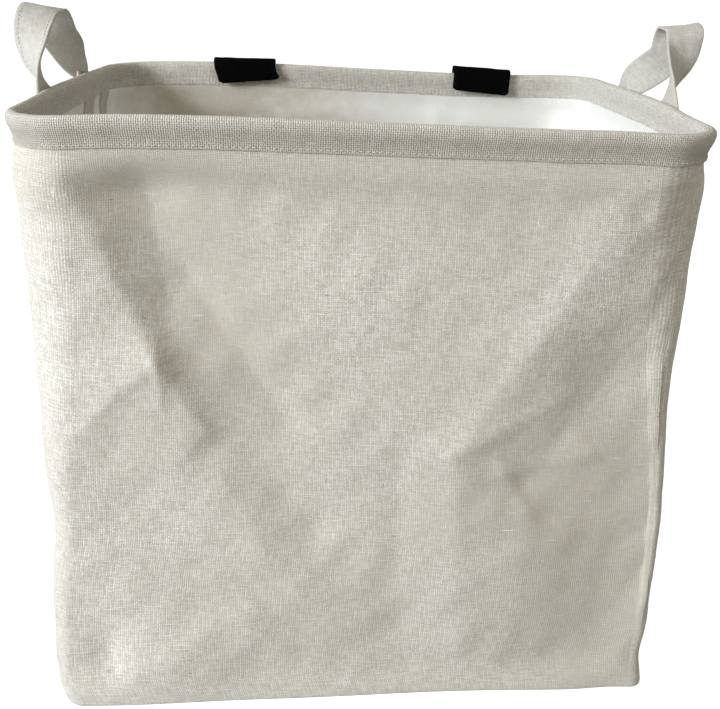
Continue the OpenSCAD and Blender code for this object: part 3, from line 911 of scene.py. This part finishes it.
def build_wire():
    """The rim's wire, round the rim's outline at the middle of the roll."""
    place = places(40, 24, 60, 24, 40, 24, 60, 24)
    inset = RIM_W - (wire_high[0] - 1.6 * MM)
    height = (wire_low[2] + wire_high[2]) / 2
    line, normal = rim_line(place, inset, height)
    out = np.hstack([normal, np.zeros((len(place), 1))])
    points = ring_tube(line, out, 1.6 * MM)
    u = closed(lengths(points, 0, True))
    v = np.broadcast_to(np.arange(11) * MM, u.shape)
    faces, uv = grid(points, u, v, ring=True, loop=True, flip=True)
    piece = make("wire_ring", points, faces, uv, [STEEL], "rim")
    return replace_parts(piece, "rim_wire")


# --- The base -------------------------------------------------------------------------------
def plate(name, height, thick, inset, material, node, edge=0.5):
    """A flat plate with the foot's outline: rings of the outline, shrunk evenly to the middle, on the top and the
    bottom face, joined by a rounded edge."""
    place = places(36, 12, 72, 12, 36, 12, 72, 12)
    line, _ = shell_surface(place[None, :], np.array([[6.0 * MM]]), inset)
    rim = line[0, :, :2]
    turn = np.linspace(-np.pi / 2, np.pi / 2, 5)[:, None]
    rounded = 1 - edge * thick * (1 - np.cos(turn)) / np.linalg.norm(rim, axis=1)
    face = np.append(0.02, np.linspace(0.12, 0.995, 12))[:, None] + np.zeros(len(rim))
    scale = np.vstack([face, rounded, face[::-1]])
    level = height + thick / 2 * np.concatenate([0 * face[:, :1], 1 + np.sin(turn), 2 + 0 * face[:, :1]])
    points = np.concatenate([rim * scale[..., None], (level + 0 * scale)[..., None]], -1)
    faces, uv = grid(points, closed(points[..., 0]), closed(points[..., 1]), ring=True, caps=True)
    piece = make(name, points, faces, uv, [material], "shell")
    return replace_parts(piece, node)


def build_base_tape():
    """Binding along the foot of the wall, all round, as a closed ring of oblong section."""
    place = places(50, 20, 110, 20, 50, 14, 90, 14)
    low, high = base_tape_low[2], base_tape_high[2]
    heights = np.array([low, low + 0.2 * MM, (low + high) / 2, high - 0.2 * MM, high, high, high - 0.2 * MM,
                        (low + high) / 2, low + 0.2 * MM, low])
    insets = WALL_T + MM * np.array([0.3, 0.15, 0.15, 0.15, 0.3, 0.7, 0.95, 0.95, 0.95, 0.7])
    points, _ = shell_surface(place[None, :], heights[:, None], insets[:, None])
    u = lengths(points, 1, True)
    u = np.vstack([u, u[:1]])
    v = closed(lengths(points, 0, True))
    faces, uv = grid(points, u, v, ring=True, loop=True)
    piece = make("base_binding", points, faces, uv, [SEAM_LINEN], "shell")
    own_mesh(piece)
    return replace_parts(piece, "base_seam_tape")


def build_side_tape(name, node, waver):
    """A strip down the inner face of the left wall, at its CAD node's place, from the base binding to the hem."""
    low, high = box_of(node)
    middle, half = (low[1] + high[1]) / 2, (high[1] - low[1]) / 2
    height = np.linspace(low[2], high[2], 120)[:, None]
    sections = np.array([-1, -0.98, -0.5, 0, 0.5, 0.98, 1, 1, 0.98, 0.5, 0, -0.5, -0.98, -1])
    insets = np.array([0.35, 0.15, 0.15, 0.15, 0.15, 0.15, 0.35, 0.6, 0.85, 0.9, 0.92, 0.9, 0.85, 0.6])
    insets = WALL_T + MM * insets
    front, _, _, rear = corner_radii(height)
    waist = waist_share(height / MM)
    y_rear = WALL_D - MM * 3.0 * waist - rear
    y_front = WALL_D - MM * 2.2 * waist - front
    y = middle + half * sections[None, :] + MM * waver * ripple(height / MM, 0, 51, 120)
    place = np.minimum((y_rear - y) / (y_rear + y_front), 0.999)
    place = np.where(place < 0, 8 + place * (y_rear + y_front) / (rear * np.pi / 2), place)
    points, _ = shell_surface(place, height, insets[None, :])
    u = np.broadcast_to(np.append(y[0], y[0, 0]), (len(height), len(sections) + 1))
    v = np.broadcast_to(height, u.shape)
    faces, uv = grid(points, u, v, ring=True, caps=True)
    piece = make(name, points, faces, uv, [SEAM_LINEN], "shell")
    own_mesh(piece)
    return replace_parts(piece, node)


# --- The handles ----------------------------------------------------------------------------
def oblong(across, half, edge):
    """A strip's section: faces at plus and minus half over across, joined by half-ellipse edges that stand out by
    edge."""
    turn = np.linspace(0, np.pi, 5)[1:-1]
    right = np.stack([across[-1] + edge * np.sin(turn), half[-1] * np.cos(turn)], -1)
    left = np.stack([across[0] - edge * np.sin(turn), -half[0] * np.cos(turn)], -1)
    return np.vstack([np.stack([across, half], -1), right, np.stack([across, -half], -1)[::-1], left])


STRAP_W, STRAP_T = 25 * MM, 2.0 * MM
ends_low, ends_high = box_of("handle_left_ends")
loop_low, loop_high = box_of("handle_left_loop")
SPAN = ends_high[1] - ends_low[1] - STRAP_W
HANDLE_Y = (ends_high[1] + ends_low[1]) / 2
RISE = loop_high[2] - loop_low[2] - STRAP_T
# Each handle's near leg and rear leg: how far it leans outwards, the length over which it twists, how far its
# top stands to the rear of its foot, and how straight it is, from 0 for half an ellipse to 1.
LEAN = {"left": (3 * MM, 1 * MM), "right": (6 * MM, 13 * MM)}
TWIST_RUN = {"left": (34 * MM, 46 * MM), "right": (34 * MM, 52 * MM)}
SLANT = {"left": (5 * MM, 3 * MM), "right": (19 * MM, -10 * MM)}
STRAIGHT = {"left": (0.2, 0.9), "right": (0.0, 0.9)}
FULL_TWIST = math.radians(125)


def handle_line(side, label):
    """The strap's middle line and its face normal. It climbs the hem's outer face, then runs over the arch
    [side * out, -span/2 cos a, rise sin a] and down again, each leg partly straightened. The twist is the full
    twist * (1 - exp(-arc^2 / (run * (arc + 4 mm)))), and turns its face from outwards to the arch's own radius and
    a little past it; out grows with the twist's sine, so the inner edge stays over the rim, and with the lean."""
    joint = next(j for j in frame["joints"] if j["child"] == f"{label}_handle")
    hinge = np.array(joint["pos_m"])
    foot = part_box(f"handle_{label}_ends")[0][2]
    a = np.linspace(0, np.pi, 121)
    share = a / np.pi
    arc = np.minimum(a, np.pi - a) * (SPAN / 4 + RISE / 2)
    run = slide(TWIST_RUN[label], ease(share, 0.3, 0.7))
    twist = FULL_TWIST * (1 - np.exp(-(arc**2) / (run * (arc + 4 * MM))))
    lean = slide(LEAN[label], share)
    out = 10.5 * MM * np.sin(twist) - 3.5 * MM * ease(arc / (30 * MM)) + lean * ease(arc / (40 * MM))
    off = np.abs(share - 0.5) * 2
    straight = np.where(share < 0.5, *STRAIGHT[label]) * ease(off, 0.05, 0.5)
    y = -SPAN / 2 * (np.cos(a) * (1 - straight) + np.sign(0.5 - share) * off * straight)
    z = RISE * (np.sin(a) * (1 - straight) + (1 - off) * straight)
    arch = np.stack([hinge[0] + side * out, HANDLE_Y + y, hinge[2] + z], -1)
    tangent = unit(np.gradient(arch, axis=0))
    radial = unit(np.stack([0 * a, -tangent[:, 2], tangent[:, 1]], -1))
    flat = np.array([side, 0.0, 0.0])
    face = unit(flat * np.cos(twist)[:, None] + radial * np.sin(twist)[:, None])
    climb = np.linspace(foot, hinge[2], 16)[:-1]
    legs = [np.stack([0 * climb + hinge[0], 0 * climb + HANDLE_Y + k * SPAN / 2, climb], -1) for k in (-1, 1)]
    line = np.vstack([legs[0], arch, legs[1][::-1]])
    slant = np.linspace(0, 1, len(line))
    slant = SLANT[label][0] * (1 - ease(slant, 0.25, 0.5)) + SLANT[label][1] * ease(slant, 0.5, 0.75)
    line[:, 1] += slant * ease(line[:, 2], foot, foot + 34 * MM)
    normal = np.vstack([np.tile(flat, (15, 1)), face, np.tile(flat, (15, 1))])
    return line, normal, hinge


def strap_frame(line, normal):
    """The strap's normal and width directions, each at right angles to its line."""
    tangent = unit(np.gradient(line, axis=0))
    normal = unit(normal - tangent * (normal * tangent).sum(-1, keepdims=True))
    return normal, np.cross(tangent, normal)


def build_handle(side, label):
    """One handle: an oblong section with rounded edges, carried along the strap's line. It is thinner along the
    two stitch lines and ends in square-cut sewn ends."""
    line, normal, hinge = handle_line(side, label)
    normal, width = strap_frame(line, normal)
    run = lengths(line[:, None], 0, False)[:, 0]
    edge = 0.6 * MM
    across = np.linspace(-0.5, 0.5, 15) * (STRAP_W - 2 * edge)
    stitched = STRAP_W / 2 - 3 * MM
    pressed = sum(bell(across / MM, k * stitched / MM, 1.1) for k in (1, -1))
    half = STRAP_T / 2 - 0.28 * MM * pressed + 0.12 * MM * bell(across / MM, 0, 7)
    section = oblong(across, half, edge)
    seed = 61 if side < 0 else 62
    wave = MM * 0.22 * ripple(run[:, None] / MM, section[None, :, 0] / MM, seed, 16)
    loose = ease(line[:, 2], hinge[2] - 2 * MM, hinge[2] + 14 * MM)[:, None]
    lift = section[None, :, 1] + wave * loose
    points = line[:, None] + width[:, None] * section[None, :, :1] + normal[:, None] * lift[..., None]
    u = lengths(points, 1, True)
    u = np.broadcast_to(u[:1], u.shape)
    v = np.broadcast_to(run[:, None], u.shape)
    faces, uv = grid(points, u, v, ring=True, caps=True, flip=True)
    piece = make(f"handle_{label}_strap", points, faces, uv, [STRAP], None)
    worn = 0.75 * ease(np.abs(section[None, :, 0]) / MM, 11.4, 12.4) + 0 * run[:, None]
    mark(piece, "wear", worn)
    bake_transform(piece)
    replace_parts(piece, f"handle_{label}_loop", f"handle_{label}_ends")
    face = STRAP_T / 2 - 0.30 * MM
    rows = []
    for edge_side in (-1, 1):
        for outer in (-1, 1):
            wavy = MM * 0.22 * ripple(run / MM, edge_side * stitched / MM, seed, 16) * loose[:, 0]
            track = line + width * edge_side * stitched + normal * (outer * face + wavy)[:, None]
            keep = slice(0, None) if outer > 0 else slice(13, len(line) - 13)
            rows.append(stitch_row(track[keep], outer * normal[keep], **STRAP_STITCH))
    thread = sew(f"handle_{label}_edge_stitches", rows, None, "sewing_thread")
    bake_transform(thread)
    boxes = []
    foot = line[0, 2]
    for leg in (line[:15], line[-15:][::-1]):
        for level in (foot + 2.2 * MM, hinge[2] - 5.5 * MM):
            middle = np.interp(level, leg[:, 2], leg[:, 1])
            y = np.linspace(middle - stitched, middle + stitched, 20)
            track = np.stack([0 * y + hinge[0] + side * (STRAP_T / 2 + 0.02 * MM), y, 0 * y + level], -1)
            boxes.append(stitch_row(track, np.tile([side, 0.0, 0.0], (20, 1)), **STRAP_STITCH))
    sew(f"handle_{label}_end_stitches", boxes, "rim", "sewing_thread", f"handle_{label}_stitching")


# --- The tabs -------------------------------------------------------------------------------
def build_tab(label, raised, short, skew, narrow, seed):
    """One tab: a strip that is sewn to the rear of the hem, bends over the rim and hangs inside. Its path in
    (y, z) is three straight runs joined by rounded bends, its section an oblong with rounded edges, and its free
    end has round corners. raised and short give how far its left and its right edge are lifted and cut short, so it
    sits and ends at a slant; skew moves the free end sideways and narrow is its width's share."""
    sewn_low, sewn_high = box_of(f"tab_{label}_sewn_end")
    flap_low, flap_high = box_of(f"tab_{label}_flap")
    thick = (sewn_high - sewn_low)[1]
    y_out = (sewn_low[1] + sewn_high[1]) / 2
    y_in = flap_low[1] + thick / 2
    z_top = flap_high[2] - thick / 2
    bend = 2.6 * MM
    turn = np.linspace(0, np.pi / 2, 7)[:, None]
    up = np.stack([np.full(9, y_out), np.linspace(sewn_low[2], z_top - bend, 9)], -1)
    over = np.array([y_out - bend, z_top - bend]) + bend * np.hstack([np.cos(turn), np.sin(turn)])
    across = np.stack([np.linspace(y_out - bend, y_in + bend, 7), np.full(7, z_top)], -1)[1:-1]
    back = np.array([y_in + bend, z_top - bend]) + bend * np.hstack([-np.sin(turn), np.cos(turn)])
    down = np.stack([np.full(13, y_in), np.linspace(z_top - bend, flap_low[2], 13)], -1)[1:]
    path = np.vstack([up, over, across, back, down])
    tangent = unit(np.gradient(path, axis=0))
    normal = np.stack([tangent[:, 1], -tangent[:, 0]], -1)
    run = lengths(path[:, None], 0, False)[:, 0]
    width = flap_high[0] - flap_low[0]
    middle = (flap_high[0] + flap_low[0]) / 2
    half = width / 2 - 0.5 * MM
    flat_x = np.linspace(-half, half, 17)
    section = oblong(flat_x, np.full(17, thick / 2), 0.5 * MM)
    free = ease(run, run[-1] - 16 * MM, run[-1])[:, None]
    round_in = quarter((run[-1] - run)[:, None], 3 * MM) + quarter(run[:, None], 1.5 * MM)
    x = section[None, :, 0] * (1 - round_in / half)
    wave = 0.12 * MM * ripple(run[:, None] / MM, x / MM, seed, 18)
    rightness = (section[None, :, 0] + half) / (2 * half)
    shift = slide(raised, rightness) + free * slide(short, rightness)
    x = x * narrow - half * (1 - narrow) * 0.8 + skew * ease(run, 30 * MM, run[-1])[:, None]
    lift = section[None, :, 1] + wave
    y, z = (path[:, k, None] + normal[:, k, None] * lift for k in (0, 1))
    points = np.stack([middle + x, y, z + shift], -1)
    u = np.broadcast_to(np.append(section[:, 0], section[0, 0]), (len(run), len(section) + 1))
    v = np.broadcast_to(run[:, None], u.shape)
    faces, uv = grid(points, u, v, ring=True, caps=True, flip=True)
    piece = make(f"tab_{label}_strip", points, faces, uv, [BLACK_TAPE], None)
    worn = np.maximum(ease(np.abs(x) / MM, 24.2, 25.2), 0.8 * ease(run[:, None], run[-1] - 1.5 * MM, run[-1]))
    mark(piece, "wear", worn)
    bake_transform(piece)
    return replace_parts(piece, f"tab_{label}_sewn_end", f"tab_{label}_flap")


def build_pad(node, name, body, face, trim, lift):
    """A hook or loop pad: a shallow cushion on its CAD node's place, trimmed at its foot like its tab, whose face
    carries rows of pile."""
    low, high = box_of(node)
    low[2], high[2] = low[2] + trim + lift, high[2] + lift
    middle, half = (low + high) / 2, (high - low) / 2
    x, z = np.meshgrid(np.linspace(-1, 1, 61), np.linspace(-1, 1, 21))
    edge = np.sqrt(np.clip(1 - np.maximum(np.abs(x), np.abs(z)) ** 10, 0, 1))
    pile = 0.10 * MM * np.cos(x * 60) * np.cos(z * 24)
    out = half[1] * (2 * edge - 1) + pile * edge - 0.1 * MM
    levels = (middle[1] + face * out, middle[1] - face * half[1] + 0 * x)
    points = np.concatenate([np.stack([middle[0] + half[0] * x, y, middle[2] + half[2] * z], -1) for y in levels])
    points = points.reshape(-1, 3)
    rows, cols = x.shape
    i, j = np.meshgrid(np.arange(rows - 1), np.arange(cols - 1), indexing="ij")
    quad = np.stack([i * cols + j, i * cols + j + 1, (i + 1) * cols + j + 1, (i + 1) * cols + j], -1).reshape(-1, 4)
    across, down = np.arange(cols - 1), np.arange(rows - 1)
    border = np.concatenate([across, cols - 1 + cols * down, rows * cols - 1 - across, (rows - 1 - down) * cols])
    following = np.roll(border, -1)
    wall = np.stack([following, border, border + rows * cols, following + rows * cols], -1)
    turned = -1 if face > 0 else 1
    faces = np.concatenate([quad[:, ::turned], quad[:, ::-turned] + rows * cols, wall[:, ::turned]])
    uv = points[faces.ravel()][:, [0, 2]]
    piece = make(name, points, faces.tolist(), uv, [BLACK_HOOKS], body)
    mark(piece, "wear", np.zeros(len(points)))
    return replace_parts(piece, node)


# --- Putting it together --------------------------------------------------------------------
wall = build_wall()
hem = build_hem()
sew("hem_stitches", [hem_stitches(False), hem_stitches(True)], "rim", "sewing_thread", "hem_thread")
build_wire()
base = plate("base_fabric", 0.0, 1.2 * MM, 1.7 * MM, LINEN, "base_panel")
mark(base, "wear", np.zeros(len(base.data.vertices)))
mark(base, "tone", np.full(len(base.data.vertices), 0.3))
plate("base_stiffener", board_low[2], board_high[2] - board_low[2], 4.2 * MM, BOARD, "base_board",
      edge=0.3)
lining = plate("base_cover", lining_low[2], lining_high[2] - lining_low[2], 1.7 * MM, COATED,
               "base_lining")
build_base_tape()
build_side_tape("side_strip_front", "side_seam_tape_front", 1.2)
build_side_tape("side_strip_rear", "side_seam_tape_rear", 0.8)
build_handle(-1, "left")
build_handle(1, "right")
build_tab("left", (2.2 * MM, 2.2 * MM), (3.2 * MM, 7.2 * MM), 3.4 * MM, 0.99, 71)
build_tab("right", (0.6 * MM, -1.6 * MM), (4.1 * MM, 2.9 * MM), -0.4 * MM, 0.94, 72)
for label, trim, lift in (("left", 7.5 * MM, 1.8 * MM), ("right", 4.8 * MM, -0.8 * MM)):
    build_pad(f"tab_{label}_hook_pad", f"tab_{label}_hooks", f"{label}_tab", 1, trim, lift)
    build_pad(f"tab_{label}_loop_pad", f"tab_{label}_loops", "rim", -1, trim, lift)

ferrule = frame["nodes"]["wire_ferrule"].data.materials
ferrule.clear()
ferrule.append(STEEL)


# --- Floor, light and camera ----------------------------------------------------------------
def build_floor():
    """A wide pale sheet: level under the bin, and sweeping up far behind it and on every side."""
    radius = np.concatenate([[0.05], np.geomspace(0.2, 9.0, 40)])[:, None]
    angle = np.linspace(0, 2 * np.pi, 97)[None, :-1]
    height = 0.55 * np.maximum(radius - 5.0, 0) ** 1.6 + 0 * angle - 0.02 * MM
    points = np.stack([radius * np.cos(angle), radius * np.sin(angle), height], -1)
    faces, uv = grid(points, closed(points[..., 0]), closed(points[..., 1]), ring=True)
    faces.append(list(range(96)))
    uv = np.vstack([uv, points[0, :, :2]])
    material, tree, principled = shader("Pale floor", 0.8)
    patches = place_group(tree, PATCHES, Place=object_place(tree), Scale=0.7)
    seen = node(tree, "LightPath").outputs["Is Camera Ray"]
    pale = tint(tree, (0.80, 0.80, 0.80, 1), patches.outputs[0], (0.82, 0.82, 0.82, 1))
    feed(tree, principled.inputs["Base Color"], tint(tree, (0.45, 0.45, 0.45, 1), seen, pale))
    principled.inputs["Emission Color"].default_value = (1, 1, 1, 1)
    feed(tree, principled.inputs["Emission Strength"], times(tree, seen, 0.78))
    floor = make("floor", points, faces, uv, [material])


def lamp(name, at, size, power, colour):
    """A square soft light that faces the middle of the bin, 0.2 m up."""
    data = bpy.data.lights.new(name, "AREA")
    data.shape = "SQUARE"
    data.size = size
    data.energy = power
    data.color = colour
    obj = bpy.data.objects.new(name, data)
    obj.location = at
    obj.rotation_euler = (Vector((0, 0, 0.2)) - Vector(at)).to_track_quat("-Z", "Y").to_euler()
    bpy.context.scene.collection.objects.link(obj)


build_floor()
lamp("Key", (-2.6, -1.4, 1.25), 1.2, 122, (0.95, 0.99, 1.05))
lamp("Fill", (2.3, -2.2, 0.8), 2.4, 14, (1.0, 0.96, 0.86))
world = bpy.data.worlds.new("Soft room")
world.use_nodes = True
room = world.node_tree
room.nodes["Background"].inputs["Color"].default_value = (1.04, 0.985, 0.85, 1)
room.nodes["Background"].inputs["Strength"].default_value = 0.49
seen = room.nodes.new("ShaderNodeBackground")
seen.inputs["Color"].default_value = (1, 1, 1, 1)
seen.inputs["Strength"].default_value = 1.0
rays = room.nodes.new("ShaderNodeLightPath")
pick = room.nodes.new("ShaderNodeMixShader")
room.links.new(rays.outputs["Is Camera Ray"], pick.inputs[0])
room.links.new(room.nodes["Background"].outputs[0], pick.inputs[1])
room.links.new(seen.outputs[0], pick.inputs[2])
room.links.new(pick.outputs[0], room.nodes["World Output"].inputs[0])
bpy.context.scene.world = world
bpy.context.scene.view_settings.view_transform = "Standard"
bpy.context.scene.view_settings.look = "None"

YAW, PITCH, ROLL = math.radians(3.48), math.radians(20.43), math.radians(1.89)
ahead = np.array([math.sin(YAW) * math.cos(PITCH), math.cos(YAW) * math.cos(PITCH), -math.sin(PITCH)])
level = np.array([math.cos(YAW), -math.sin(YAW), 0])
upright = np.cross(level, ahead)
right = level * math.cos(ROLL) + upright * math.sin(ROLL)
above = upright * math.cos(ROLL) - level * math.sin(ROLL)
camera_data = bpy.data.cameras.new("Camera")
camera_data.lens = 40.95
camera_data.sensor_width = 36
camera_data.shift_y = -0.0868
camera = bpy.data.objects.new("Camera", camera_data)
turned = Matrix((right, above, -ahead)).transposed().to_4x4()
turned.translation = (-0.0312, -0.5652, 0.4442)
camera.matrix_world = turned
camera_data.clip_start = 0.02
bpy.context.scene.collection.objects.link(camera)
bpy.context.scene.camera = camera
